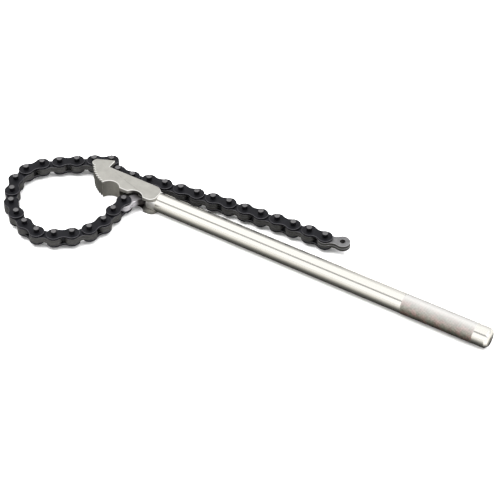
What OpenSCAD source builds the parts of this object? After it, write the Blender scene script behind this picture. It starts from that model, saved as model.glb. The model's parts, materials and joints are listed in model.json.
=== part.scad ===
// Chain pipe wrench lying on its side: a round bar handle, a toothed head with a
// chain slot, and a leaf chain that is pinned in the head, makes a loop and hooks
// over it. Handle along +X, sizes in millimetres.

/* [Handle] */
// Diameter of the round bar
bar_d = 21.6; // [18:0.1:25]
// How far the knurled grip stands up from the bar
grip_rise = 0.2; // [0.1:0.05:0.4]
// Length of the knurled grip
grip_len = 81; // [70:1:140]
// Distance of the grip from the tip
grip_end = 16; // [8:1:20]
// Length of the bar from the end of the cheeks to its tip
bar_len = 394; // [250:1:600]
// Length of the flattened tang that is welded between the cheeks
tang_len = 11; // [7:0.5:12]
// Length of the chamfer at the tip
tip_chamfer = 3; // [1:0.5:6]
// Diameter of the centre drilling in the tip
centre_d = 3.5; // [2:0.5:6]

/* [Head] */
// Thickness of each cheek
cheek_t = 4.3; // [3:0.1:6]
// Gap between the nose's round corner and the chain pin that passes it
nose_gap = 1.9; // [0.5:0.1:4]
// Radius of the nose's round corner
nose_r = 5.5; // [3:0.5:8]
// Distance from the anchor pin to the rear end of the cheeks
cheek_rear = 21; // [20:0.5:30]
// Distance of the near edge of the cheeks from the bar's axis
edge_near = 13; // [12:0.5:16]
// Height of the hook over the far edge of the cheeks
hook_h = 11.5; // [7:0.5:12]
// Free length of the hook's notch beside the hooked pin
notch_slack = 4.8; // [3:0.1:6]
// Gap between the hooked pin and the far edge of the cheeks
seat_gap = 1.3; // [0.5:0.1:2]
// Radius of the jaw's toothed edge
jaw_r = 44; // [38:1:60]
// Number of teeth on the jaw
tooth_count = 8; // [5:1:12]
// Depth of the teeth
tooth_depth = 1.8; // [1:0.1:2.5]
// Radius of the two scallops in the near edge
scallop_r = 11.5; // [9:0.5:12.5]
// Depth of the scallops
scallop_depth = 5.5; // [3:0.5:6]

/* [Chain] */
// Distance between neighbouring chain pins
pitch = 19.05; // [18:0.05:20]
// Radius of the plates' round ends
plate_r = 8.3; // [7:0.1:8.6]
// Half width of the plates at their waist
waist = 5.6; // [4.6:0.1:6.5]
// Thickness of an outer plate
outer_t = 2.5; // [1.8:0.1:3.5]
// Thickness of an inner plate
inner_t = 3.3; // [2:0.1:4]
// Diameter of the chain pins
pin_d = 6; // [5:0.1:7]
// Chamfer at the ends of the chain pins
pin_chamfer = 0.6; // [0.2:0.1:1]

/* [Anchor] */
// Diameter of the anchor pin
anchor_d = 8; // [6:0.5:9]
// Distance between the two holes of the anchor link
anchor_len = 22; // [21:0.5:25]
// Distance of the anchor pin from the bar's axis, on the near side
anchor_drop = 3; // [2:0.5:5]

/* [Clearances] */
// Gap between inner and outer plates
side_gap = 0.3; // [0.2:0.05:0.5]
// Gap between the two inner plates of a link
mid_gap = 0.2; // [0.1:0.05:0.4]
// Gap between the chain and each cheek
slot_gap = 0.5; // [0.3:0.1:1]
// Radial clearance of a pin in a plate that turns on it
turn_fit = 0.06; // [0.03:0.01:0.09]
// Radial clearance of a pin in a plate that holds it
hold_fit = 0.02; // [0.01:0.01:0.04]
// Gap between the tang and each cheek
tang_fit = 0.05; // [0.02:0.01:0.1]

/* [Hidden] */
$fn = 64;
pair_count = 16;
inner_w = 2 * inner_t + mid_gap;
chain_w = inner_w + 2 * (side_gap + outer_t);
slot_w = chain_w + 2 * slot_gap;
head_t = slot_w + 2 * cheek_t;
pin_len = head_t;
mid_z = max(head_t, bar_d + 2 * grip_rise) / 2;
cut = 1;
// Depth by which edges and arcs cross the round corners that they run into
blend = 0.02;

// Direction of the anchor link, then the turn of the chain at each pin, in degrees
anchor_heading = -116;
loop_turns = [24, 4, -20, -19, -16, -19, -30, -14, -11, -19, -9, -25, -30, -19, -5, -1, -5, -64];
tail_turns = [35, 14, -7, -1, 1, 0, -1, -3, 1, 1, -2, -1, -2, 15];
turns = concat(loop_turns, tail_turns);
hook_pin = len(loop_turns) + 1;

// Place of each pin in the bar's frame: x from the anchor pin, y from the bar's axis
anchor_at = [0, -anchor_drop];
function along(p, a, d) = p + d * [cos(a), sin(a)];
function heading_of(n) = n == 0 ? anchor_heading : heading_of(n - 1) + turns[n - 1];
function pin_at(n) = n == 0 ? anchor_at
    : along(pin_at(n - 1), heading_of(n - 1), n == 1 ? anchor_len : pitch);
chain_pins = [for (n = [1:len(turns) + 1]) pin_at(n)];

// The head follows the pin that hangs in its hook
seat = pin_at(hook_pin);
edge_far = seat[1] - pin_d / 2 - seat_gap;
hook_x = seat[0] - pin_d / 2 - notch_slack;
slot_floor = seat[1] - plate_r - seat_gap - slot_gap;
hook_tip_r = 2;
// Where the nose's round corner lies from the chain pin that passes it, where the toothed edge
// runs into it, and how far it stands out of that edge
nose_pin = hook_pin - 2;
nose_side = -34.7;
nose_angle = 204;
nose_stand = 1.5;
// Rear end of the toothed edge, the heel behind it, and the jaw block's end ahead of the anchor pin
jaw_rear = 42.5;
jaw_drop = 2.3;
heel_x = -30;
block_rear = -24;
// Flat tip of each tooth, the steep share of each notch, and the plain ends of the edge in degrees
jaw_land = 0.4;
tooth_rake = 0.35;
plain_ends = [5, 1.5];
// Centres of the scallops, and the cheeks' rear corner on the near side
scallop_xs = [-32, -2];
rear_near_r = 8;

// Origin at the middle of the part's box, on the surface that it lies on
pin_xs = [for (p = chain_pins) p[0]];
pin_ys = [for (p = chain_pins) p[1]];
tip_x = cheek_rear + bar_len;
centre_x = (min(pin_xs) - plate_r + tip_x) / 2;
centre_y = (min(pin_ys) + max(pin_ys)) / 2;

function two_digits(i) = str(i < 10 ? "0" : "", i);
function outer_name(i) = str("outer_plates_", two_digits(i));
function pins_name(i) = str("chain_pins_", two_digits(i));
function inner_name(i) = str("inner_plates_", two_digits(i));

// Moves a piece from the bar's frame to the part's frame
module placed() {
    translate([-centre_x, -centre_y, mid_z]) children();
}

// A pair of like plates above and below the middle plane
module mirrored_pair() {
    children();
    mirror([0, 0, 1]) children();
}

// A round bar along +Z
module disc(r, thick) {
    cylinder(r = r, h = thick);
}

// The hole for one, through the whole thickness
module hole(r, thick) {
    translate([0, 0, -cut]) cylinder(r = r, h = thick + 2 * cut);
}

// A drilled chain plate from its first hole along +X: round ends and a waist whose arcs run into them
module plate(length, thick, first_r, last_r) {
    half = length / 2;
    waist_r = (pow(half, 2) + pow(waist, 2) - pow(plate_r, 2)) / (2 * (plate_r - waist));
    side = waist + waist_r;
    difference() {
        union() {
            for (x = [0, length]) translate([x, 0, 0]) disc(plate_r, thick);
            linear_extrude(thick) polygon([[0, 0], [half, side], [length, 0], [half, -side]]);
        }
        for (s = [-1, 1]) translate([half, s * side, 0]) hole(waist_r + blend, thick);
        hole(first_r, thick);
        translate([length, 0, 0]) hole(last_r, thick);
    }
}

// Puts a link from pin n along its own direction
module at_link(n) {
    p = pin_at(n);
    placed() translate([p[0], p[1], 0]) rotate(heading_of(n)) children();
}

// A round pin with chamfered ends, centred on the middle plane
module round_pin(d, length, chamfer) {
    r = d / 2;
    h = length / 2;
    rotate_extrude() polygon([[0, -h], [r - chamfer, -h], [r, -h + chamfer],
        [r, h - chamfer], [r - chamfer, h], [0, h]]);
}

// Raked notches round the jaw's edge between two directions from its centre, with flat tips between them
module tooth_notches(first, last) {
    step = (last - first) / tooth_count;
    width = jaw_r * step * PI / 180 - jaw_land;
    deep = tooth_depth + cut;
    side = width * deep / tooth_depth;
    for (i = [0:tooth_count - 1])
        rotate(first + (i + tooth_rake) * step) translate([jaw_r - tooth_depth, 0])
            polygon([[0, 0], [deep, -tooth_rake * side], [deep, (1 - tooth_rake) * side]]);
}

// A slab of the head: nose with teeth and hook, cheeks with two scallops, round rear end
module head_slab(thick) {
    corner = along(pin_at(nose_pin), nose_side, pin_d / 2 + nose_gap + nose_r);
    tip = [hook_x - hook_tip_r, edge_far + hook_h - hook_tip_r];
    slope = tip - corner;
    lean = atan2(slope[1], slope[0]) + asin((hook_tip_r - nose_r) / norm(slope)) + 90;
    jaw_start = along(corner, nose_angle, nose_r - nose_stand);
    jaw_end = [-jaw_rear, -edge_near - jaw_drop];
    chord = jaw_end - jaw_start;
    inward = atan2(chord[1], chord[0]) + 90;
    spread = asin(norm(chord) / 2 / jaw_r);
    centre = along((jaw_start + jaw_end) / 2, inward, jaw_r * cos(spread));
    first = inward + 180 - spread;
    last = inward + 180 + spread;
    outside = jaw_r / cos(spread) + cut;
    far_x = cheek_rear - edge_far;
    near_x = cheek_rear - rear_near_r;
    near_y = -edge_near + rear_near_r;
    far = edge_far - blend;
    near = -edge_near + blend;
    rear = cheek_rear - blend;
    wall = hook_x - blend;
    difference() {
        union() {
            translate(corner) disc(nose_r, thick);
            translate(tip) disc(hook_tip_r, thick);
            linear_extrude(thick) polygon([corner, along(corner, lean, nose_r - blend),
                along(tip, lean, hook_tip_r - blend), [wall, tip[1]], [wall, far], [far_x, far],
                [far_x, 0], [rear, 0], [rear, near_y], [near_x, near], [heel_x, near]]);
            intersection() {
                translate(centre) disc(jaw_r, thick);
                linear_extrude(thick) polygon([corner, along(centre, first, outside),
                    along(centre, last, outside), [heel_x / 2, 0]]);
            }
            translate([far_x, 0]) disc(edge_far, thick);
            translate([near_x, near_y]) disc(rear_near_r, thick);
        }
        translate([centre[0], centre[1], -cut]) linear_extrude(thick + 2 * cut)
            tooth_notches(first + plain_ends[0], last - plain_ends[1]);
        for (x = scallop_xs) translate([x, scallop_depth - edge_near - scallop_r]) hole(scallop_r, thick);
    }
}

module handle_bar() {
    r = bar_d / 2;
    grip_r = r + grip_rise;
    grip_x = tip_x - grip_end;
    start = cheek_rear - tang_len;
    flat = slot_w / 2 - tang_fit;
    shoulder = cheek_rear + tang_fit;
    color("gainsboro") placed() difference() {
        rotate([0, 90, 0]) rotate_extrude() polygon([[0, start], [r, start],
            [r, grip_x - grip_len], [grip_r, grip_x - grip_len], [grip_r, grip_x], [r, grip_x],
            [r, tip_x - tip_chamfer], [r - tip_chamfer, tip_x],
            [centre_d / 2, tip_x], [0, tip_x - centre_d / 2]]);
        for (s = [0, 1]) mirror([0, 0, s])
            translate([start - cut, -bar_d, flat]) cube([shoulder - start + cut, 2 * bar_d, bar_d]);
    }
}

module cheek() {
    translate([0, 0, slot_w / 2]) difference() {
        head_slab(cheek_t);
        translate(anchor_at) hole(anchor_d / 2 + hold_fit, cheek_t);
    }
}

module upper_cheek() {
    color("tan") placed() cheek();
}

module lower_cheek() {
    color("tan") placed() mirror([0, 0, 1]) cheek();
}

module jaw_block() {
    room = 2 * norm(pin_at(nose_pin));
    color("tan") placed() translate([0, 0, -slot_w / 2]) intersection() {
        head_slab(slot_w);
        translate([block_rear - room, slot_floor - room, 0]) cube([room, room, slot_w]);
    }
}

module anchor_pin() {
    color("silver") placed() translate(anchor_at) round_pin(anchor_d, head_t, pin_chamfer);
}

module anchor_link() {
    color("white") placed() translate([anchor_at[0], anchor_at[1], -inner_w / 2]) rotate(anchor_heading)
        plate(anchor_len, inner_w, anchor_d / 2 + turn_fit, pin_d / 2 + turn_fit);
}

// Link i of the chain's outer links runs from pin 2i - 1 to pin 2i
module outer_plates(i) {
    color("dimgray") at_link(2 * i - 1) mirrored_pair()
        translate([0, 0, inner_w / 2 + side_gap])
            plate(pitch, outer_t, pin_d / 2 + hold_fit, pin_d / 2 + hold_fit);
}

module chain_pins_of(i) {
    color("gray") at_link(2 * i - 1)
        for (x = [0, pitch]) translate([x, 0, 0]) round_pin(pin_d, pin_len, pin_chamfer);
}

// Link i of the chain's inner links runs from pin 2i to pin 2i + 1
module inner_plates(i) {
    color("slategray") at_link(2 * i) mirrored_pair()
        translate([0, 0, mid_gap / 2])
            plate(pitch, inner_t, pin_d / 2 + turn_fit, pin_d / 2 + turn_fit);
}

handle_bar();
upper_cheek();
lower_cheek();
jaw_block();
anchor_pin();
anchor_link();
for (i = [1:pair_count]) outer_plates(i);
for (i = [1:pair_count]) chain_pins_of(i);
for (i = [1:pair_count]) inner_plates(i);
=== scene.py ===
"""Looks of a chain pipe wrench: plated bar with a knurled grip, matte toothed head and oiled leaf chain."""

import json
import math

import bpy
import numpy as np
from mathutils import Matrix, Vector


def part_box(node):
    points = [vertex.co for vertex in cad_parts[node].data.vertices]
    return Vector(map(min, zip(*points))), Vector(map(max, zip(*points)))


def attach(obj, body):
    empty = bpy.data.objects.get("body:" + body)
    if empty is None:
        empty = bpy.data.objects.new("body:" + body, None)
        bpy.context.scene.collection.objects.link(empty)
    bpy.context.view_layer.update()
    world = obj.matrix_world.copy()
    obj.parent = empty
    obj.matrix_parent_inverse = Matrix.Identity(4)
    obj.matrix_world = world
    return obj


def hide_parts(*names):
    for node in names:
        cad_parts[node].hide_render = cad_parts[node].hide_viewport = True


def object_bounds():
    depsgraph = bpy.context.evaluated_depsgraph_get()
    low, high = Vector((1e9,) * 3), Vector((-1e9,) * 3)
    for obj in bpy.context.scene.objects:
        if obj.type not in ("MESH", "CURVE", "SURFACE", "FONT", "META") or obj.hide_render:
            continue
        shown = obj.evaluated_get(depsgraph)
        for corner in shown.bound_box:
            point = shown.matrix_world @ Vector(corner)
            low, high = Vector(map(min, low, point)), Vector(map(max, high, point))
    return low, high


bl_info = {
    "name": "Chain pipe wrench",
    "version": (1, 0, 0),
    "blender": (4, 5, 0),
    "location": "View3D > Sidebar > Wrench",
    "description": "Builds the visible pieces of a chain pipe wrench round its packed model",
    "category": "Add Mesh",
}

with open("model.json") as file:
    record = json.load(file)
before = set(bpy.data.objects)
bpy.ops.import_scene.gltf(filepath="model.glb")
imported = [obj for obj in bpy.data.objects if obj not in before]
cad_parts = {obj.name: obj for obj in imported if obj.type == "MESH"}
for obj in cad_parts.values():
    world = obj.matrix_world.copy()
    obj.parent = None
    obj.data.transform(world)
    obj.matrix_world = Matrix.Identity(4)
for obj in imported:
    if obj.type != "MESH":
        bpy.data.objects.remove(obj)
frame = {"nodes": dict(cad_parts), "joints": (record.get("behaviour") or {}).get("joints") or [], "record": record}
CAD_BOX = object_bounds()
ROOT = "head_and_handle"
LINK_PAIRS = range(1, 17)
MOUNTS = {m["name"]: m for m in frame["record"]["mounts"]}
# The chain's pins in plan, from the anchor pin to the eye at the free end
PINS = np.array([j["pos_m"][:2] for j in frame["joints"]] + [MOUNTS["tail_eye"]["pos_m"][:2]])
MID_Z = frame["joints"][0]["pos_m"][2]
GRIP_R = MOUNTS["grip"]["dims"]["r_mm"] / 1000
GRIP_LEN = MOUNTS["grip"]["dims"]["length_mm"] / 1000
GRIP_X = MOUNTS["grip"]["pos_m"][0] - GRIP_LEN / 2
GRIP_END = GRIP_X + GRIP_LEN
BAR_Y = MOUNTS["grip"]["pos_m"][1]
# Radial gap of a pin in a hole that holds it
PRESS_GAP = 0.00002
# A length too small to see, which keeps two rows of corners apart
TINY = 0.00001
# Corners round the bar, a hole and a pin, and along each arc of a plate
BAR_CORNERS, HOLE_CORNERS, PIN_CORNERS, ARC_CORNERS = 216, 32, 40, 13
# Rows of corners along the grip and the plain bar, and the bare strip beside the grip
GRIP_ROWS, PLAIN_ROWS, GRIP_STRIP = 290, 12, 0.0004
# Steps in the round of an edge, a hole's rim and a pin's end
EDGE_STEPS, HOLE_STEPS, DOME_STEPS = 4, 2, 5
# Distance of a rim's flat support rows from its corner, in radii of its round
SUPPORT = 1.3
# Share of a corner's room that a rim may use
ROOM_SHARE = 0.8
# Least divisor of a mitre, which bounds its reach at sharp corners
LEAST_MITRE = 0.35
SHARP_ANGLE = math.radians(35)
# Part of a knurl's height that is left when its peaks are cut flat
KNURL_CUT = 0.62
# Angle round the bar of its lit side, and the mean and swing round it of the painted shade on the knurl's near
# side
LIT_SIDE, SHADE_MEAN, SHADE_SWING = math.radians(55), 0.65, 0.8
# Dirt left in the knurl's valleys on the lit side, where no painted shade is added
LIT_SIDE_DIRT = 0.25
# Depth of a finish's grain
GRAIN_DEPTH = 0.0002
# Name, place, size and power of the lamps
LAMPS = (("key_light", (-0.8, -0.2, 1.6), 1.4, 55.0), ("fill_light", (0.9, 0.5, 1.6), 1.6, 35.0))
SENSOR = 36.0
FLOOR_HALF = 8.0
# Width of the strip past the bar's tip over which the mirrored floor turns bright
FLOOR_FADE = 0.012
# Brightness of the light tent at places round X, from 0 at the far horizon to 1 at the near one
TENT_FAR_LEFT = ((0.0, 0.04), (0.07, 0.07), (0.2, 0.5))
TENT_FAR_RIGHT = ((0.0, 0.62), (0.04, 0.66), (0.16, 0.85))
TENT_TOP = ((0.28, 1.0), (0.63, 1.0))
TENT_SEAM = ((0.65, 0.26), (0.706, 0.26))
TENT_NEAR = ((0.728, 1.0), (0.93, 1.0), (1.0, 0.7))
# Where the far left turns into the far right, as the X of a direction
TENT_TURN = (-0.345, -0.32)


def length(name, default, description):
    """A length that a user may change, in metres."""
    return bpy.props.FloatProperty(
        name=name, description=description, default=default, min=0.0, unit="LENGTH", precision=5
    )


def share(name, default, description):
    """A share from 0 to 1 that a user may change."""
    return bpy.props.FloatProperty(
        name=name, description=description, default=default, min=0.0, max=1.0, subtype="FACTOR"
    )


def angle(name, default, description):
    """An angle that a user may change, given in degrees."""
    return bpy.props.FloatProperty(
        name=name, description=description, default=math.radians(default), subtype="ANGLE"
    )


def colour(name, default, description):
    """A colour that a user may change, in linear RGB."""
    return bpy.props.FloatVectorProperty(
        name=name, description=description, default=default, size=3, min=0.0, max=1.0, subtype="COLOR"
    )


class WrenchBarSettings(bpy.types.PropertyGroup):
    """Sizes and colours of the bar."""

    rise: length("Grip rise", 0.0002, "How far the knurl stands up from the bar")
    knurl_pitch: length("Knurl pitch", 0.0019, "Distance between neighbouring knurl ridges round the bar")
    knurl_depth: length("Knurl depth", 0.0003, "Depth of the knurl's valleys under its peaks")
    knurl_fade: length("Knurl run-out", 0.0008, "Length over which the knurl runs out at its ends")
    knurl_gloss: share("Knurl roughness", 0.32, "Roughness of the knurl's plating")
    tang_half: length("Tang half thickness", 0.00665, "Half thickness of the flattened tang")
    shoulder: length("Shoulder", 0.01105, "Length of the tang up to the bar's shoulder")
    chamfer: length("Tip chamfer", 0.003, "Length of the chamfer at the tip")
    drilling: length("Centre drilling", 0.00175, "Radius and depth of the centre drilling in the tip")
    edge: length("Edge round", 0.00025, "Radius of the bar's small edges")
    plate: colour("Plating", (0.80, 0.785, 0.735), "Bright plating of the bar")
    worn: colour("Worn plating", (0.90, 0.89, 0.86), "Plating rubbed bright on edges")
    knurl: colour("Knurl", (0.90, 0.89, 0.865), "Matte plating on the knurl")
    # Colours of the knurl's near side: pink and green blotches, painted darker as painted shade
    green_blotch_in_shade: colour("Dull knurl", (0.40, 0.42, 0.345), "Dulled plating on the knurl's near side")
    pink_blotch_in_shade: colour("Handled knurl", (0.60, 0.40, 0.36), "Stains where a hand holds the knurl")
    # Dirt in the knurl's valleys, with more laid on the near side as painted shade; the same colour darkens the
    # centre drilling
    dirt_and_shade: colour("Knurl valleys", (0.17, 0.15, 0.13), "Dirt in the knurl's valleys")


class WrenchHeadSettings(bpy.types.PropertyGroup):
    """Sizes and colours of the head and its anchor link."""

    edge: length("Edge round", 0.0008, "Radius of the head's outer edges")
    # Reach, fade, share and roughness of the painted shade in the pocket round the anchor pin and between the
    # teeth
    shade_reach: length("Grime reach", 0.0135, "How far the grime reaches from the anchor pin")
    shade_fade: length("Grime fade", 0.004, "Length over which the grime fades out")
    teeth_reach: length("Toothed edge", 0.030, "How far the toothed edge reaches back from the nose")
    teeth_fade: length("Teeth fade", 0.002, "Length over which the grime between the teeth fades out")
    teeth_shade: share("Grime between teeth", 0.52, "Share of grime between the teeth")
    shade_roughness: share("Grime roughness", 0.7, "Roughness of the grime")
    plate: colour("Head plating", (0.555, 0.545, 0.505), "Matte plating of the forged head")
    worn: colour("Worn edge", (0.92, 0.91, 0.88), "Bare metal on the head's edges")
    # Painted shade: a dark colour laid in the pocket round the anchor pin and on the walls between the teeth
    grime: colour("Grime", (0.03, 0.026, 0.024), "Old oil in the pocket round the anchor pin")
    # One plating as lit and shaded copies: the link's faces painted darker as painted shade, its walls painted
    # lighter as painted light
    link: colour("Anchor link", (0.37, 0.355, 0.375), "Plating of the anchor link's faces")
    link_wall: colour("Link walls", (0.62, 0.60, 0.63), "Bright plating of the anchor link's walls")
    link_worn: colour("Worn link", (0.95, 0.95, 0.95), "Plating rubbed bright on the link's edges")


class WrenchChainSettings(bpy.types.PropertyGroup):
    """Sizes and colours of the chain."""

    end_r: length("Plate end", 0.0083, "Radius of the plates' round ends")
    waist: length("Plate waist", 0.0056, "Half width of the plates at their waist")
    outer_t: length("Outer plate", 0.0025, "Thickness of an outer plate")
    inner_t: length("Inner plate", 0.0033, "Thickness of an inner plate")
    pin_r: length("Pin radius", 0.003, "Radius of the chain pins")
    eye_r: length("Hole radius", 0.00306, "Radius of the holes that turn on the pins")
    edge: length("Plate edge", 0.00045, "Radius of the plates' stamped edges")
    hole_edge: length("Hole edge", 0.00015, "Radius of the rims of the plates' holes")
    dome: length("Pin round", 0.0009, "Radius of the pins' round ends")
    end_rub: share("Rubbed pin end", 0.8, "How bright the flat ends of the pins are rubbed")
    oxide: colour("Outer oxide", (0.0125, 0.0125, 0.0155), "Oiled black oxide of the outer plates")
    dusty: colour("Inner oxide", (0.01875, 0.01875, 0.02325), "Dusty black oxide of the inner plates")
    rubbed: colour("Rubbed oxide", (0.12, 0.119, 0.13), "Oxide rubbed thin on edges")
    # A lighter grey laid on the inner plates' walls than on their faces, chosen by the direction of the surface
    wall: colour("Inner walls", (0.085, 0.084, 0.08), "Walls of the inner plates, rubbed grey")
    shank: colour("Pin shanks", (0.02, 0.02, 0.0248), "Dark oxide on the sides of the pins")
    pin: colour("Pin ends", (0.165, 0.162, 0.165), "Rubbed steel on the pins' ends")
    eye: colour("Free eye", (0.22, 0.218, 0.222), "Rubbed plates at the chain's free end")
    eye_worn: colour("Worn eye", (0.46, 0.455, 0.46), "Bare steel on the free eye's edges")


class WrenchStageSettings(bpy.types.PropertyGroup):
    """Camera and light."""

    azimuth: angle("Azimuth", 31.4, "Camera's turn round the wrench")
    elevation: angle("Elevation", 43.13, "Camera's height angle")
    distance: length("Distance", 1.875, "Camera's distance from its aim")
    lens: bpy.props.FloatProperty(
        name="Lens", description="Focal length on the sensor", default=130.09, min=1.0, unit="CAMERA"
    )
    aim: bpy.props.FloatVectorProperty(
        name="Aim", description="Point at the middle of the picture", default=(0.0109, 0.0099, 0.0215),
        subtype="XYZ",
    )
    floor: colour("Floor", (0.93, 0.93, 0.93), "Pale floor")
    # The floor's colours in metal's reflections, painted darker than the floor: painted shade on the open floor
    # and a painted shadow right under the wrench
    mirrored: colour("Mirrored floor", (0.45, 0.44, 0.42), "Open floor as metal mirrors it")
    shaded: colour("Shaded floor", (0.02, 0.02, 0.018), "Floor right under the wrench as metal mirrors it")
    sky: bpy.props.FloatProperty(name="Sky", description="Strength of the light tent", default=1.35, min=0.0)


def closed_rows(count, around, first=0):
    """Quads between neighbouring rows of closed rings, as an array of corner numbers.

    Corner (row, i) is joined to (row, i + 1), (row + 1, i + 1) and (row + 1, i), with i wrapping round.
    """
    ids = first + np.arange(count * around).reshape(count, around)
    ahead = np.roll(ids, -1, axis=1)
    return np.stack([ids[:-1], ahead[:-1], ahead[1:], ids[1:]], axis=-1).reshape(-1, 4)


def turns(loop):
    """Signed turn at each corner of a loop, and the edge that leaves it.

    The turn is the angle from the edge before to the edge after, from their cross and dot products.
    """
    after = np.roll(loop, -1, axis=0) - loop
    before = np.roll(after, 1, axis=0)
    cross = before[:, 0] * after[:, 1] - before[:, 1] * after[:, 0]
    return np.arctan2(cross, np.sum(before * after, axis=1)), after


def outward(loop):
    """Mitred outward direction at each corner of a loop that turns left round its material.

    It is the sum of the two edges' right-hand normals over one plus their dot product, so that
    moving every corner by it moves every edge by one unit.
    """
    run = np.roll(loop, -1, axis=0) - loop
    run = run / np.linalg.norm(run, axis=1, keepdims=True)
    after = np.stack([run[:, 1], -run[:, 0]], axis=1)
    before = np.roll(after, 1, axis=0)
    divisor = 1 + np.sum(after * before, axis=1, keepdims=True)
    return (after + before) / np.maximum(divisor, LEAST_MITRE)


def inset_room(loop):
    """How far each corner of a loop can be moved inward before one of its two edges shrinks to nothing.

    Moving in by one unit shortens an edge by the half-angle tangents of the turns at its two ends.
    """
    turn, run = turns(loop)
    shrink = np.tan(turn / 2)
    edge = np.linalg.norm(run, axis=1) / np.maximum(shrink + np.roll(shrink, -1), 1e-6)
    return np.minimum(edge, np.roll(edge, 1))


def quarter(radius, steps, face):
    """A rounded rim from its face to its wall as arrays of inset, rise and edge mask; a sharp rim is one row.

    Inset is r (1 - sin t) and rise r (1 - cos t), for t from 0 to 90 degrees. A row before and after keeps
    the face and the wall flat up to the round. The mask is the square root of sin 2t, and at least face
    times cos t.
    """
    if not radius:
        return np.zeros(1), np.zeros(1), np.zeros(1)
    t = np.linspace(0, math.pi / 2, steps + 1)
    inset, rise = radius * (1 - np.sin(t)), radius * (1 - np.cos(t))
    mask = np.maximum(np.sqrt(np.maximum(np.sin(2 * t), 0)), face * np.cos(t))
    return (
        np.concatenate([[SUPPORT * radius], inset, [0.0]]),
        np.concatenate([[0.0], rise, [SUPPORT * radius]]),
        np.concatenate([[face], mask, [0.0]]),
    )


def rim(low, high, round_low, round_high, steps=EDGE_STEPS, face=0.0):
    """Rows of a flat piece's wall from its lower face to its upper one: arrays of inset, height and mask."""
    inset, rise, mask = quarter(round_low, steps, face)
    top_inset, drop, top_mask = (row[::-1] for row in quarter(round_high, steps, face))
    return (
        np.concatenate([inset, top_inset]),
        np.concatenate([low + rise, high - drop]),
        np.concatenate([mask, top_mask]),
    )


class Shell:
    """Corners, faces and edge masks of a piece, gathered from closed shells."""

    def __init__(self):
        self.points, self.faces, self.masks, self.count = [], [], [], 0

    def add(self, points, mask):
        """Adds rows of corners and gives the number of the first one."""
        first = self.count
        self.points.append(points.reshape(-1, 3))
        self.masks.append(np.broadcast_to(mask, points.shape[:-1]).reshape(-1))
        self.count += self.points[-1].shape[0]
        return first

    def wall(self, loop, rows):
        """Carries the rim's rows round a loop, and gives the corner numbers of the lowest and highest row.

        Each row is the loop moved inward by the row's inset, or by what the corner has room for.
        """
        insets, heights, masks = rows
        room = np.minimum(ROOM_SHARE * inset_room(loop) / max(insets.max(), 1e-9), 1.0)
        flat = loop[None] - insets[:, None, None] * (outward(loop) * room[:, None])[None]
        level = np.broadcast_to(heights[:, None, None], flat.shape[:2] + (1,))
        first = self.add(np.concatenate([flat, level], axis=2), masks[:, None])
        self.faces += closed_rows(len(heights), len(loop), first).tolist()
        ids = first + np.arange(len(heights) * len(loop)).reshape(len(heights), len(loop))
        return ids[0], ids[-1]

    def cap(self, low, high):
        """Closes a piece below and above with two faces of the same corners."""
        self.faces += [low[::-1].tolist(), high.tolist()]

    def places(self):
        """All corners in one array."""
        return np.concatenate(self.points)

    def make(self, name, body, node, finish, slot, extra=None):
        """Makes the Blender object of the piece, riding on its body in place of its CAD node."""
        mesh = bpy.data.meshes.new(name)
        mesh.from_pydata(self.places(), [], self.faces)
        masks = {"edge": np.concatenate(self.masks), **(extra or {})}
        for key, values in masks.items():
            layer = mesh.attributes.new(key, "FLOAT", "POINT")
            layer.data.foreach_set("value", values.astype(np.float32))
        mesh.shade_smooth()
        mesh.set_sharp_from_angle(angle=SHARP_ANGLE)
        mesh.materials.append(finish)
        mesh.validate()
        piece = bpy.data.objects.new(name, mesh)
        bpy.context.scene.collection.objects.link(piece)
        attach(piece, body)
        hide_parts(node)


def circle(radius, centre, count, clockwise=False):
    """Corners of a circle, turning left unless clockwise, from its rightmost point."""
    t = np.linspace(0, 2 * math.pi, count, endpoint=False) * (-1 if clockwise else 1)
    return np.stack([np.cos(t), np.sin(t)], axis=1) * radius + np.asarray(centre)


def plate_loop(span, end_r, waist):
    """Outline of a chain plate from the rightmost point, turning left.

    Round ends of radius end_r at 0 and span; each waist is an arc that touches both ends and comes within
    waist of the middle line. The lower half mirrors the upper one.
    """
    half = span / 2
    waist_r = (half**2 + waist**2 - end_r**2) / (2 * (end_r - waist))
    reach = math.atan2(waist + waist_r, half)
    ends = np.linspace(0, math.pi - reach, ARC_CORNERS)
    hollow = np.linspace(-reach, reach - math.pi, ARC_CORNERS)[1:-1]
    right = np.stack([span + end_r * np.cos(ends), end_r * np.sin(ends)], axis=1)
    middle = np.stack([half + waist_r * np.cos(hollow), waist + waist_r + waist_r * np.sin(hollow)], axis=1)
    left = right[::-1] * (-1, 1) + (span, 0)
    upper = np.concatenate([right, middle, left])
    return np.concatenate([upper, upper[-2:0:-1] * (1, -1)])


def add_plate(shell, start, end, low, high, own, first_r, last_r):
    """A drilled chain plate between two pins: rounded wall, two bores, and two half faces on each side.

    The half faces meet on the line through both holes, so that each is a simple outline.
    """
    run = end - start
    span = float(np.hypot(*run))
    turn = np.array([[run[0], run[1]], [-run[1], run[0]]]) / span
    outline = plate_loop(span, own.end_r, own.waist)
    hole_rows = rim(low, high, own.hole_edge, own.hole_edge, HOLE_STEPS)
    near = circle(first_r, (0, 0), HOLE_CORNERS, True)
    far = circle(last_r, (span, 0), HOLE_CORNERS, True)
    walls = [shell.wall(outline @ turn + start, rim(low, high, own.edge, own.edge))]
    walls += [shell.wall(hole @ turn + start, hole_rows) for hole in (near, far)]
    for side in (0, 1):
        rim_ids, near_ids, far_ids = (np.append(w[side], w[side][0]) for w in walls)
        middle, turned = len(outline) // 2, HOLE_CORNERS // 2
        upper = np.concatenate([rim_ids[: middle + 1], near_ids[turned:], far_ids[turned:]])
        lower = np.concatenate([rim_ids[middle:], far_ids[: turned + 1], near_ids[: turned + 1]])
        for face in (upper, lower):
            shell.faces.append((face if side else face[::-1]).tolist())


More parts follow.
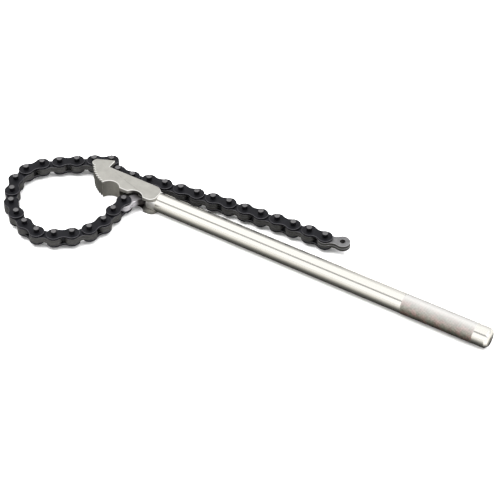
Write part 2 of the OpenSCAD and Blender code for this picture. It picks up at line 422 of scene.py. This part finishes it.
def add_pin(shell, centre, radius, low, high, dome, face):
    """A round pin with rounded ends: a circle carried along the rim's rows, closed by two flat ends."""
    shell.cap(*shell.wall(circle(radius, centre, PIN_CORNERS), rim(low, high, dome, dome, DOME_STEPS, face)))


def node_loops(node, level):
    """Outlines of a CAD node's flat face at a height, longest first, each turning left round the material.

    Corners are merged by place; an edge that only one triangle of the face uses is on an outline. The
    corners are put in order by doubling each one's pointer along the outline until all reach its end.
    """
    mesh = frame["nodes"][node].data
    mesh.calc_loop_triangles()
    points = np.zeros(len(mesh.vertices) * 3)
    mesh.vertices.foreach_get("co", points)
    corners = np.zeros(len(mesh.loop_triangles) * 3, int)
    mesh.loop_triangles.foreach_get("vertices", corners)
    places, same = np.unique(np.round(points.reshape(-1, 3), 7), axis=0, return_inverse=True)
    triangles = same.reshape(-1)[corners].reshape(-1, 3)
    triangles = triangles[np.all(np.abs(places[triangles][:, :, 2] - level) < 1e-6, axis=1)]
    edges = np.concatenate([triangles[:, [0, 1]], triangles[:, [1, 2]], triangles[:, [2, 0]]])
    key = edges[:, 0] * len(places) + edges[:, 1]
    border = edges[~np.isin(edges[:, 1] * len(places) + edges[:, 0], key)]
    stay = np.arange(len(places))
    follow = stay.copy()
    follow[border[:, 0]] = border[:, 1]
    left = set(border[:, 0].tolist())
    loops = []
    while left:
        first = min(left)
        chain = np.where(follow == first, stay, follow)
        steps = (chain != stay).astype(int)
        for _ in range(int(math.log2(len(places))) + 1):
            steps = steps + steps[chain]
            chain = chain[chain]
        ids = np.flatnonzero((chain == chain[first]) & (follow != stay))
        ids = ids[np.argsort(-steps[ids])]
        loops.append(places[ids][:, :2])
        left -= set(ids.tolist())
    if not loops:
        raise RuntimeError(f"{node} has no flat face at {level} m")
    return sorted(loops, key=len, reverse=True)


def straight(loop, least=math.radians(1)):
    """The same outline without the corners at which it turns by less than an angle."""
    return loop[np.abs(turns(loop)[0]) > least]


def split_loop(loop, x):
    """The same outline with corners added where it crosses a line of constant x.

    Each crossing is put on the line in proportion along its edge. It also gives the numbers of the lowest and
    the highest crossing.
    """
    ahead = np.roll(loop, -1, axis=0)
    crossing = np.flatnonzero((loop[:, 0] - x) * (ahead[:, 0] - x) < 0)
    part = ((x - loop[crossing, 0]) / (ahead[crossing, 0] - loop[crossing, 0]))[:, None]
    added = loop[crossing] + part * (ahead[crossing] - loop[crossing])
    full = np.insert(loop, crossing + 1, added, axis=0)
    ids = crossing + 1 + np.arange(len(crossing))
    return full, ids[np.argmin(added[:, 1])], ids[np.argmax(added[:, 1])]


def add_cheek(shell, outline, low, high, round_low, round_high, hole_r):
    """A cheek of the head: its CAD outline carried along the rim's rows, drilled for the anchor pin.

    Its faces are split in two along a line through the hole, whose corners start at its highest point.
    """
    loop, bottom, top = split_loop(outline, PINS[0, 0])
    hole = np.roll(circle(hole_r, PINS[0], HOLE_CORNERS, True), HOLE_CORNERS // 4, axis=0)
    walls = [shell.wall(loop, rim(low, high, round_low, round_high))]
    walls.append(shell.wall(hole, rim(low, high, 0.0, 0.0)))
    turned = HOLE_CORNERS // 2
    half = (top - bottom) % len(loop)
    for side in (0, 1):
        ids = np.roll(walls[0][side], -bottom)
        bore = np.append(walls[1][side], walls[1][side][0])
        right = np.concatenate([ids[: half + 1], bore[: turned + 1]])
        left = np.concatenate([np.append(ids[half:], ids[0]), bore[turned:]])
        for face in (right, left):
            shell.faces.append((face if side else face[::-1]).tolist())


def knurl_height(x, round_bar, starts, slope):
    """Height of a diamond knurl from 0 in its valleys to 1 on its peaks.

    Two families of helical valleys cross; the height is the lesser distance to either family, cut off flat
    near the top.
    """
    families = []
    for hand in (-1, 1):
        phase = (round_bar * starts / (2 * math.pi) + hand * x * slope) % 1.0
        families.append(1 - np.abs(2 * phase - 1))
    return np.minimum(np.minimum(*families) / KNURL_CUT, 1.0)


def put(tree, kind, settings=None, **given):
    """A node with its settings and inputs; an input is given a value, or the socket that feeds it.

    An input goes by its label with _ for a blank, or by _ and its number.
    """
    node = tree.nodes.new(kind)
    for key, value in (settings or {}).items():
        setattr(node, key, value)
    for key, value in given.items():
        number = key[1:]
        socket = node.inputs[int(number)] if number.isdigit() else node.inputs[key.replace("_", " ")]
        if isinstance(value, bpy.types.NodeSocket):
            tree.links.new(value, socket)
        else:
            socket.default_value = value
    return node


def calc(tree, operation, *values):
    """One step of arithmetic on values, each a socket or a number."""
    given = {f"_{i}": value for i, value in enumerate(values)}
    return put(tree, "ShaderNodeMath", {"operation": operation}, **given).outputs[0]


def remap(tree, value, low, high, first=0.0, last=1.0, curve="LINEAR"):
    """A value carried from the range low to high over to the range first to last, and kept inside it."""
    node = put(
        tree, "ShaderNodeMapRange", {"interpolation_type": curve},
        Value=value, From_Min=low, From_Max=high, To_Min=first, To_Max=last,
    )
    return node.outputs[0]


def mix_values(tree, part, first, second):
    """A mix of two values, each a socket or a number."""
    return put(tree, "ShaderNodeMix", {"data_type": "FLOAT"}, _0=part, _2=first, _3=second).outputs[0]


def mix_colours(tree, part, first, second):
    """A mix of two colours, each a socket or red, green and blue."""
    ends = [c if isinstance(c, bpy.types.NodeSocket) else (*c, 1.0) for c in (first, second)]
    return put(tree, "ShaderNodeMix", {"data_type": "RGBA"}, _0=part, _6=ends[0], _7=ends[1]).outputs[2]


def grey_ramp(tree, part, stops):
    """Grey levels at places from 0 to 1, mixed evenly in between."""
    node = put(tree, "ShaderNodeValToRGB", Fac=part)
    elements = node.color_ramp.elements
    for place, _ in stops[1:-1]:
        elements.new(place)
    for element, (_, level) in zip(elements, stops):
        element.color = (level, level, level, 1.0)
    return node.outputs["Color"]


def attribute(tree, name):
    """The value of a piece's own attribute."""
    return put(tree, "ShaderNodeAttribute", {"attribute_name": name}).outputs["Fac"]


def coordinate(tree, kind):
    """A texture coordinate, such as Object or Normal."""
    return put(tree, "ShaderNodeTexCoord").outputs[kind]


def new_group(name, inputs, outputs):
    """An empty shader node group with its number inputs, by name and default, and its number outputs."""
    group = bpy.data.node_groups.new(name, "ShaderNodeTree")
    for key, value in inputs.items():
        group.interface.new_socket(key, in_out="INPUT", socket_type="NodeSocketFloat").default_value = value
    for key in outputs:
        group.interface.new_socket(key, in_out="OUTPUT", socket_type="NodeSocketFloat")
    return group, group.nodes.new("NodeGroupInput").outputs, group.nodes.new("NodeGroupOutput").inputs


def wear_group():
    """Edge wear: the piece's edge mask, broken up by noise."""
    name = "Edge wear"
    if name in bpy.data.node_groups:
        return bpy.data.node_groups[name]
    group, given, out = new_group(name, {"Scale": 600.0, "Reach": 0.5}, ["Mask"])
    edge = attribute(group, "edge")
    noise = put(
        group, "ShaderNodeTexNoise", Vector=coordinate(group, "Object"), Scale=given["Scale"], Detail=4.0
    )
    drop = calc(group, "SUBTRACT", edge, noise.outputs["Fac"])
    broken = remap(group, calc(group, "ADD", drop, given["Reach"]), 0.25, 0.85, curve="SMOOTHSTEP")
    group.links.new(calc(group, "MULTIPLY", broken, edge), out["Mask"])
    return group


def grain_group():
    """Metal grain: fine noise as height and slow blotches as tone, both stretched along X by Draw."""
    name = "Metal grain"
    if name in bpy.data.node_groups:
        return bpy.data.node_groups[name]
    group, given, out = new_group(name, {"Fine": 2500.0, "Slow": 120.0, "Draw": 1.0}, ["Height", "Tone"])
    stretch = put(group, "ShaderNodeCombineXYZ", X=given["Draw"], Y=1.0, Z=1.0).outputs[0]
    place = coordinate(group, "Object")
    drawn = put(group, "ShaderNodeVectorMath", {"operation": "MULTIPLY"}, _0=place, _1=stretch).outputs[0]
    fine = put(group, "ShaderNodeTexNoise", Vector=drawn, Scale=given["Fine"], Detail=3.0)
    slow = put(group, "ShaderNodeTexNoise", Vector=drawn, Scale=given["Slow"], Detail=5.0, Roughness=0.6)
    group.links.new(fine.outputs["Fac"], out["Height"])
    group.links.new(remap(group, slow.outputs["Fac"], 0.3, 0.7), out["Tone"])
    return group


def use_group(tree, group, **given):
    """Outputs of a node group that is fed with the given inputs."""
    return put(tree, "ShaderNodeGroup", {"node_tree": group}, **given).outputs


def metal(name, base, worn, rough, grain, bump, tone, wear, metallic=1.0):
    """A worn metal finish: blotched base colour, worn edges, varying roughness and a fine grained surface.

    rough is the roughness of light blotches, dark blotches and worn edges. grain is the fine scale, the slow
    scale and the stretch along X. tone is how much darker the dark blotches are. wear is its scale and reach.
    """
    finish = bpy.data.materials.new(name)
    finish.use_nodes = True
    tree = finish.node_tree
    shader = tree.nodes["Principled BSDF"]
    shader.inputs["Metallic"].default_value = metallic
    fine, slow, draw = grain
    scale, reach = wear
    grained = use_group(tree, grain_group(), Fine=fine, Slow=slow, Draw=draw)
    edges = use_group(tree, wear_group(), Scale=scale, Reach=reach)["Mask"]
    blotched = mix_colours(tree, grained["Tone"], [c * (1 - tone) for c in base], base)
    tree.links.new(mix_colours(tree, edges, blotched, worn), shader.inputs["Base Color"])
    gloss = remap(tree, grained["Tone"], 0.0, 1.0, rough[1], rough[0])
    tree.links.new(mix_values(tree, edges, gloss, rough[2]), shader.inputs["Roughness"])
    raised = put(tree, "ShaderNodeBump", Height=grained["Height"], Strength=bump, Distance=GRAIN_DEPTH)
    tree.links.new(raised.outputs[0], shader.inputs["Normal"])
    return finish


def cover(finish, part, over, gloss=None):
    """Lays a colour over a part of a finish, and a roughness too where one is given."""
    tree = finish.node_tree
    shader = tree.nodes["Principled BSDF"]
    layers = [("Base Color", mix_colours, over)]
    if gloss is not None:
        layers.append(("Roughness", mix_values, gloss))
    for socket, mix, layer in layers:
        under = shader.inputs[socket].links[0].from_socket
        tree.links.new(mix(tree, part, under, layer), shader.inputs[socket])


def tint_walls(finish, wall):
    """Lays a colour over a flat piece's walls, by how little the surface's normal points along Z."""
    tree = finish.node_tree
    normal = put(tree, "ShaderNodeSeparateXYZ", Vector=coordinate(tree, "Normal"))
    upright = calc(tree, "ABSOLUTE", normal.outputs["Z"])
    cover(finish, calc(tree, "SUBTRACT", 1.0, upright), wall)


class WRENCH_OT_bar(bpy.types.Operator):
    """Turned bar with a diamond knurl, a chamfered and drilled tip, and a flattened tang"""

    bl_idname = "wrench.bar"
    bl_label = "Bar handle"

    def execute(self, context):
        own = context.scene.wrench_bar
        rows = self.stations(own)
        points, masks = self.surface(own, rows)
        shell = Shell()
        shell.add(points, rows[:, 2:3])
        shell.faces += closed_rows(len(rows), BAR_CORNERS).tolist()
        ids = np.arange(shell.count).reshape(len(rows), BAR_CORNERS)
        shell.cap(ids[0], ids[-1])
        shell.make("bar", ROOT, "handle_bar", self.plating(own), "bar", masks)
        return {"FINISHED"}

    def stations(self, own):
        """Rows along the bar from tang to tip, each with its place, radius, edge mask, matte share and share of
        the dark valley colour.

        The corners of the shoulder, the chamfer and the drilling are rounded over one edge length or so.
        """
        low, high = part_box("handle_bar")
        bar_r, edge = GRIP_R - own.rise, own.edge
        shoulder, tip = low.x + own.shoulder, high.x
        tang = [
            (low.x, bar_r, 0, 1, 0),
            (shoulder - TINY, bar_r, 0, 1, 0),
            (shoulder, bar_r - edge, 0.6, 0.5, 0),
            (shoulder + edge, bar_r, 0.3, 0, 0),
        ]
        plain_start = shoulder + 8 * edge
        plain = [(x, bar_r, 0, 0, 0) for x in np.linspace(plain_start, GRIP_X - GRIP_STRIP, PLAIN_ROWS)]
        grip = [(x, GRIP_R, 0, 0, 0) for x in np.linspace(GRIP_X, GRIP_END, GRIP_ROWS)]
        end = [
            (GRIP_END + GRIP_STRIP, bar_r, 0, 0, 0),
            (tip - own.chamfer - edge, bar_r, 0.3, 0, 0),
            (tip - own.chamfer + edge, bar_r - edge * 0.8, 0.7, 0, 0),
            (tip - edge, bar_r - own.chamfer + edge * 1.2, 0.7, 0, 0),
            (tip, bar_r - own.chamfer - edge * 0.6, 0.3, 0, 0),
            (tip, own.drilling + edge * 2, 0, 0, 0),
            (tip, own.drilling + edge, 0, 1, 1),
            (tip - edge, own.drilling, 0, 1, 1),
            (tip - own.drilling, own.drilling * 0.15, 0, 1, 1),
        ]
        return np.array(tang + plain + grip + end)

    def surface(self, own, rows):
        """Corners of the bar and its masks for the finish.

        Each station is a circle about the bar's axis. On the grip its radius drops by the knurl's depth in
        the valleys; on the tang it is cut off by two flats, at half thickness over the sine of the angle.
        """
        x, radius, _, matte, dirt_and_shade = (rows[:, i : i + 1] for i in range(5))
        turn = np.linspace(0, 2 * math.pi, BAR_CORNERS, endpoint=False)[None]
        into_grip = np.minimum(x - GRIP_X, GRIP_END - x)
        inside = into_grip > -GRIP_STRIP / 2
        fade = np.clip(into_grip / own.knurl_fade, 0, 1) * inside
        starts = round(2 * math.pi * GRIP_R / own.knurl_pitch)
        valley = (1 - knurl_height(x, turn, starts, 1 / own.knurl_pitch)) * fade
        radius = radius - own.knurl_depth * valley - own.rise * (1 - fade) * inside
        flat = own.tang_half / np.maximum(np.abs(np.sin(turn)), 1e-6)
        radius = np.where(x < rows[0, 0] + own.shoulder, np.minimum(radius, flat), radius)
        y, z = BAR_Y + radius * np.cos(turn), MID_Z + radius * np.sin(turn)
        # Painted shade: the knurl turns darker towards its near lower side, away from the lit side, in its colour
        # and in its valleys
        palm = np.clip(SHADE_MEAN - SHADE_SWING * np.cos(turn - LIT_SIDE), 0, 1) * inside
        masks = {
            "knurl": fade + matte,
            "palm": palm,
            "valley": valley * (LIT_SIDE_DIRT + (1 - LIT_SIDE_DIRT) * palm) + dirt_and_shade,
        }
        masks = {key: np.broadcast_to(mask, radius.shape).reshape(-1) for key, mask in masks.items()}
        return np.stack([np.broadcast_to(x, radius.shape), y, z], axis=-1), masks

    def plating(self, own):
        """Bright drawn plating that turns matte and dirty on the knurl, with painted shade on the knurl's near
        side.
        """
        finish = metal(
            "Bright plating", own.plate, own.worn, rough=(0.15, 0.22, 0.15), grain=(900.0, 60.0, 0.05),
            bump=0.03, tone=0.1, wear=(500.0, 0.4),
        )
        tree = finish.node_tree
        speck = use_group(tree, grain_group(), Fine=520.0, Slow=140.0)
        blotch = remap(tree, speck["Tone"], 0.3, 0.7)
        grit = remap(tree, speck["Height"], 0.44, 0.61, 0.0, 0.6)
        # Pink and green blotches of tone, in colours painted darker as painted shade, with grit specks of dirt
        shaded_blotches = mix_colours(tree, blotch, own.pink_blotch_in_shade, own.green_blotch_in_shade)
        gritty = mix_colours(tree, grit, shaded_blotches, own.dirt_and_shade)
        # The knurl's own colour on the lit side and the shaded blotches on the near side: painted shade
        peaks = mix_colours(tree, attribute(tree, "palm"), own.knurl, gritty)
        ridged = mix_colours(tree, attribute(tree, "valley"), peaks, own.dirt_and_shade)
        cover(finish, attribute(tree, "knurl"), ridged, own.knurl_gloss)
        return finish


class WRENCH_OT_head(bpy.types.Operator):
    """Toothed head: two cheeks and the jaw block between them, with the anchor pin's flush ends"""

    bl_idname = "wrench.head"
    bl_label = "Toothed head"

    def execute(self, context):
        own = context.scene.wrench_head
        finish = metal(
            "Matte plating", own.plate, own.worn, rough=(0.42, 0.55, 0.3), grain=(1800.0, 90.0, 1.0),
            bump=0.35, tone=0.14, wear=(420.0, 0.75),
        )
        # Painted shade over the head's walls near the anchor pin and between the teeth
        cover(finish, attribute(finish.node_tree, "grime"), own.grime, own.shade_roughness)
        pin_low, pin_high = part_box("anchor_pin")
        pin_r = (pin_high.x - pin_low.x) / 2
        outline = straight(node_loops("upper_cheek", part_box("upper_cheek")[1].z)[0])
        for node, round_low, round_high in (("upper_cheek", 0.0, own.edge), ("lower_cheek", own.edge, 0.0)):
            low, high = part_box(node)
            cheek = Shell()
            add_cheek(cheek, outline, low.z, high.z, round_low, round_high, pin_r + PRESS_GAP)
            self.finish_piece(cheek, node, finish, own)
        low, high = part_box("jaw_block")
        block = Shell()
        block.cap(*block.wall(straight(node_loops("jaw_block", high.z)[0]), rim(low.z, high.z, 0.0, 0.0)))
        self.finish_piece(block, "jaw_block", finish, own)
        pin = Shell()
        add_pin(pin, PINS[0], pin_r, pin_low.z, pin_high.z, 0.0, 0.0)
        self.finish_piece(pin, "anchor_pin", finish, own)
        return {"FINISHED"}

    def finish_piece(self, shell, node, finish, own):
        """Makes a piece of the head, with painted shade on its walls near the anchor pin and between the teeth."""
        places = shell.places()
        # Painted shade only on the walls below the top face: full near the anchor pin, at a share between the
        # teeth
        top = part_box("anchor_pin")[1].z - own.edge / 2
        deep = np.clip((top - places[:, 2]) / own.edge, 0, 1)
        teeth_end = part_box("upper_cheek")[0].x + own.teeth_reach
        teeth = np.clip((teeth_end - places[:, 0]) / own.teeth_fade, 0, 1)
        grime = np.maximum(anchor_shade(places, own), own.teeth_shade * teeth) * deep
        shell.make("head_" + node, ROOT, node, finish, "head", {"grime": grime})


def anchor_shade(places, own):
    """Share of painted shade by a place's distance in plan from the anchor pin: full near it, then fading out."""
    away = np.linalg.norm(places[:, :2] - PINS[0], axis=1)
    return np.clip((own.shade_reach - away) / own.shade_fade, 0, 1)


class WRENCH_OT_anchor(bpy.types.Operator):
    """Bright solid link between the anchor pin and the chain"""

    bl_idname = "wrench.anchor"
    bl_label = "Anchor link"

    def execute(self, context):
        head, chain = context.scene.wrench_head, context.scene.wrench_chain
        # The link's plating as lit and shaded copies: its faces in a colour painted darker as painted shade, its
        # walls in one painted lighter as painted light
        finish = metal(
            "Bright link plating", head.link, head.link_worn, rough=(0.25, 0.35, 0.2),
            grain=(1200.0, 110.0, 1.0), bump=0.08, tone=0.1, wear=(600.0, 0.5), metallic=0.6,
        )
        tint_walls(finish, head.link_wall)
        # Painted shade on the link inside the pocket round the anchor pin
        cover(finish, attribute(finish.node_tree, "grime"), head.grime, head.shade_roughness)
        low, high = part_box("anchor_link")
        pin_low, pin_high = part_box("anchor_pin")
        first_r = (pin_high.x - pin_low.x) / 2 + chain.eye_r - chain.pin_r
        shell = Shell()
        add_plate(shell, PINS[0], PINS[1], low.z, high.z, chain, first_r, chain.eye_r)
        # Painted shade on the link near the anchor pin
        grime = {"grime": anchor_shade(shell.places(), head)}
        shell.make("anchor_link_body", "anchor", "anchor_link", finish, "anchor", grime)
        return {"FINISHED"}


def plate_pair(kind, number, first_pin, thick, hole_r, own, finish):
    """Two like plates above and below the middle plane, in place of a CAD pair of that kind and number."""
    node = f"{kind}_plates_{number:02d}"
    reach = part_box(node)[1].z - MID_Z
    shell = Shell()
    for low in (MID_Z + reach - thick, MID_Z - reach):
        add_plate(shell, PINS[first_pin], PINS[first_pin + 1], low, low + thick, own, hole_r, hole_r)
    shell.make(f"{kind}_pair_{number:02d}", f"{kind}_link_{number:02d}", node, finish, f"{kind}_plate")


class WRENCH_OT_outer_plates(bpy.types.Operator):
    """Outer plates of the chain, in pairs that hold their two pins"""

    bl_idname = "wrench.outer_plates"
    bl_label = "Outer plates"

    def execute(self, context):
        own = context.scene.wrench_chain
        finish = metal(
            "Oiled oxide", own.oxide, own.rubbed, rough=(0.34, 0.5, 0.3), grain=(1500.0, 140.0, 1.0),
            bump=0.2, tone=0.35, wear=(520.0, 0.42), metallic=0.75,
        )
        for number in LINK_PAIRS:
            plate_pair("outer", number, 2 * number - 1, own.outer_t, own.pin_r + PRESS_GAP, own, finish)
        return {"FINISHED"}


class WRENCH_OT_inner_plates(bpy.types.Operator):
    """Inner plates of the chain, in pairs that turn on the pins; the last pair is the rubbed free eye"""

    bl_idname = "wrench.inner_plates"
    bl_label = "Inner plates"

    def execute(self, context):
        own = context.scene.wrench_chain
        finish = metal(
            "Dusty oxide", own.dusty, own.rubbed, rough=(0.38, 0.55, 0.32), grain=(1500.0, 160.0, 1.0),
            bump=0.25, tone=0.4, wear=(480.0, 0.5), metallic=0.7,
        )
        # The walls of the inner plates and the free eye get a lighter grey than their faces
        tint_walls(finish, own.wall)
        eye = metal(
            "Rubbed eye", own.eye, own.eye_worn, rough=(0.36, 0.5, 0.3), grain=(1500.0, 200.0, 1.0),
            bump=0.25, tone=0.35, wear=(480.0, 0.6), metallic=0.8,
        )
        tint_walls(eye, own.wall)
        for number in LINK_PAIRS:
            last = number == LINK_PAIRS[-1]
            plate_pair("inner", number, 2 * number, own.inner_t, own.eye_r, own, eye if last else finish)
        return {"FINISHED"}


class WRENCH_OT_pins(bpy.types.Operator):
    """Chain pins with rounded ends that the floor and the head have rubbed bright"""

    bl_idname = "wrench.pins"
    bl_label = "Chain pins"

    def execute(self, context):
        own = context.scene.wrench_chain
        finish = metal(
            "Rubbed pin", own.shank, own.pin, rough=(0.3, 0.45, 0.22), grain=(1500.0, 300.0, 1.0),
            bump=0.15, tone=0.3, wear=(700.0, 0.7), metallic=0.85,
        )
        for number in LINK_PAIRS:
            node = f"chain_pins_{number:02d}"
            low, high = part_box(node)
            shell = Shell()
            for centre in PINS[2 * number - 1 : 2 * number + 1]:
                add_pin(shell, centre, own.pin_r, low.z, high.z, own.dome, own.end_rub)
            shell.make(f"pin_pair_{number:02d}", f"outer_link_{number:02d}", node, finish, "pin")
        return {"FINISHED"}


class WRENCH_OT_stage(bpy.types.Operator):
    """Pale floor, soft studio light and the camera at the photograph's angle"""

    bl_idname = "wrench.stage"
    bl_label = "Stage"

    def execute(self, context):
        own = context.scene.wrench_stage
        self.floor(context.scene, own)
        self.tent(context.scene, own)
        self.lamps(context.scene)
        self.camera(context.scene, own)
        context.scene.view_settings.view_transform = "Standard"
        return {"FINISHED"}

    def floor(self, scene, own):
        """A wide flat floor under the wrench.

        Metal mirrors it in painted colours: a painted shadow right under the wrench, painted shade that is
        brighter at a glance, and bright beyond the bar's tip.
        """
        half = FLOOR_HALF
        mesh = bpy.data.meshes.new("floor")
        corners = [(-half, -half, 0), (half, -half, 0), (half, half, 0), (-half, half, 0)]
        mesh.from_pydata(corners, [], [(0, 1, 2, 3)])
        paint = bpy.data.materials.new("Pale floor")
        paint.use_nodes = True
        tree = paint.node_tree
        shader = tree.nodes["Principled BSDF"]
        shader.inputs["Roughness"].default_value = 0.9
        mirror = put(tree, "ShaderNodeLightPath").outputs["Is Glossy Ray"]
        facing = put(tree, "ShaderNodeLayerWeight", Blend=0.5).outputs["Facing"]
        place = put(tree, "ShaderNodeSeparateXYZ", Vector=coordinate(tree, "Object"))
        tip = CAD_BOX[1][0]
        beyond = remap(tree, place.outputs["X"], tip, tip + FLOOR_FADE)
        # Painted shadow under the wrench in reflections, fading out at a glance and beyond the bar's tip
        open_floor = calc(tree, "MAXIMUM", calc(tree, "POWER", facing, 2.0), beyond)
        mirrored = mix_colours(tree, open_floor, own.shaded, own.mirrored)
        tree.links.new(mix_colours(tree, mirror, own.floor, mirrored), shader.inputs["Base Color"])
        mesh.materials.append(paint)
        floor = bpy.data.objects.new("floor", mesh)
        scene.collection.objects.link(floor)

    def tent(self, scene, own):
        """A light tent along X, whose brightness runs round that axis from the far horizon over the top.

        A seam beyond the top gives bright metal its thin grey line. The far horizon is dark on the left,
        which gives metal its dark far edge, and light on the right.
        """
        world = bpy.data.worlds.new("studio")
        scene.world = world
        world.use_nodes = True
        tree = world.node_tree
        way = put(tree, "ShaderNodeSeparateXYZ", Vector=coordinate(tree, "Generated")).outputs
        around = calc(tree, "DIVIDE", calc(tree, "ARCTAN2", way["Z"], way["Y"]), math.pi)
        left = grey_ramp(tree, around, TENT_FAR_LEFT + TENT_TOP + TENT_SEAM + TENT_NEAR)
        right = grey_ramp(tree, around, TENT_FAR_RIGHT + TENT_TOP + TENT_SEAM + TENT_NEAR)
        background = tree.nodes["Background"]
        both = mix_colours(tree, remap(tree, way["X"], *TENT_TURN), left, right)
        tree.links.new(both, background.inputs["Color"])
        background.inputs["Strength"].default_value = own.sky

    def lamps(self, scene):
        """Soft lamps aimed at the wrench, which metal doesn't mirror."""
        for name, place, size, power in LAMPS:
            light = bpy.data.lights.new(name, "AREA")
            light.size, light.energy = size, power
            lamp = bpy.data.objects.new(name, light)
            lamp.location = place
            lamp.visible_glossy = False
            lamp.rotation_euler = (-Vector(place)).to_track_quat("-Z", "Y").to_euler()
            scene.collection.objects.link(lamp)

    def camera(self, scene, own):
        """A camera at the distance and angles of the settings from its aim."""
        lens = bpy.data.cameras.new("camera")
        lens.lens, lens.sensor_width = own.lens, SENSOR
        lens.clip_start, lens.clip_end = 0.01, 100.0
        camera = bpy.data.objects.new("camera", lens)
        flat = math.cos(own.elevation)
        back = Vector((math.sin(own.azimuth) * flat, -math.cos(own.azimuth) * flat, math.sin(own.elevation)))
        camera.location = Vector(own.aim) + back * own.distance
        camera.rotation_euler = (-back).to_track_quat("-Z", "Y").to_euler()
        scene.collection.objects.link(camera)
        scene.camera = camera


class WRENCH_PT_panel(bpy.types.Panel):
    """Sizes, colours and operators of the wrench"""

    bl_idname = "WRENCH_PT_panel"
    bl_label = "Chain pipe wrench"
    bl_space_type = "VIEW_3D"
    bl_region_type = "UI"
    bl_category = "Wrench"

    def draw(self, context):
        for operator in OPERATORS:
            self.layout.operator(operator.bl_idname)
        for key, group in SETTINGS.items():
            box = self.layout.box()
            box.label(text=group.__doc__)
            for prop in group.__annotations__:
                box.prop(getattr(context.scene, key), prop)


SETTINGS = {
    "wrench_bar": WrenchBarSettings,
    "wrench_head": WrenchHeadSettings,
    "wrench_chain": WrenchChainSettings,
    "wrench_stage": WrenchStageSettings,
}
OPERATORS = (
    WRENCH_OT_bar,
    WRENCH_OT_head,
    WRENCH_OT_anchor,
    WRENCH_OT_outer_plates,
    WRENCH_OT_inner_plates,
    WRENCH_OT_pins,
    WRENCH_OT_stage,
)
CLASSES = (*SETTINGS.values(), *OPERATORS, WRENCH_PT_panel)


def register():
    """Adds the classes and the scene's settings."""
    for cls in CLASSES:
        bpy.utils.register_class(cls)
    for key, group in SETTINGS.items():
        setattr(bpy.types.Scene, key, bpy.props.PointerProperty(type=group))


def unregister():
    """Takes the settings and the classes out again."""
    for key in SETTINGS:
        delattr(bpy.types.Scene, key)
    for cls in reversed(CLASSES):
        bpy.utils.unregister_class(cls)


def main():
    register()
    bpy.ops.wrench.bar()
    bpy.ops.wrench.head()
    bpy.ops.wrench.anchor()
    bpy.ops.wrench.outer_plates()
    bpy.ops.wrench.inner_plates()
    bpy.ops.wrench.pins()
    bpy.ops.wrench.stage()


if __name__ == "__main__":
    main()
